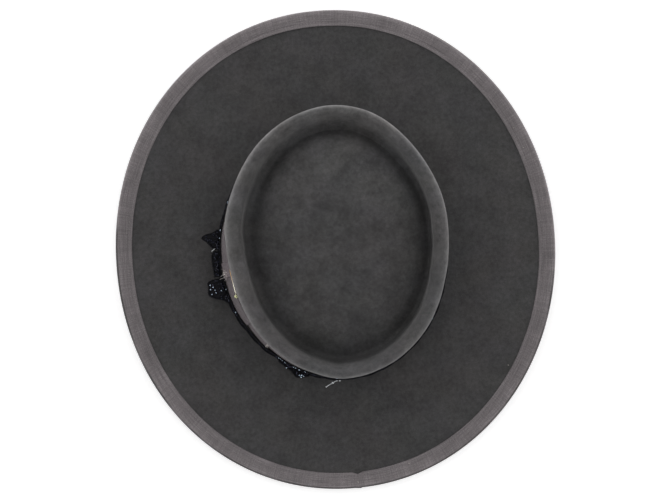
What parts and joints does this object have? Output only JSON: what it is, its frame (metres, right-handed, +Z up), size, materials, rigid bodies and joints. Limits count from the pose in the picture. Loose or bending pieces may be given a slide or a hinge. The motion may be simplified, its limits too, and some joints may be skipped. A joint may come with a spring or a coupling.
{
  "type": "felt hat",
  "caption": "Wide-brimmed felt hat with a telescope crown, ribbon bound brim, ribbon band with a flat bow, beaded lace trim and a small hat pin.",
  "frame": {"origin": "centre of the brim on the surface that the hat rests on", "axes": "+Y towards the front of the hat, +X towards the wearer's right, +Z up; the bow is on -X"},
  "size_m": [0.35, 0.3828, 0.108],
  "materials": {
    "felt": "brushed charcoal fur felt",
    "binding_ribbon": "rosy grey grosgrain",
    "bow_ribbon": "pinkish grey grosgrain",
    "lace": "matt black lace with navy beads",
    "gold_wire": "polished gold colour",
    "glass_bead": "clear yellow-green glass"
  },
  "bodies": {
    "root": {"felt_body": "felt", "brim_binding": "binding_ribbon", "hat_band": "bow_ribbon", "bow_front_loop": "bow_ribbon", "bow_rear_loop": "bow_ribbon", "bow_tail": "bow_ribbon", "bow_knot": "bow_ribbon", "lace_trim": "lace", "lace_leaf_front": "lace", "lace_leaf_middle": "lace", "lace_leaf_rear": "lace", "lace_leaf_back": "lace", "pin_shank": "gold_wire", "pin_head": "glass_bead"}
  },
  "joints": []
}
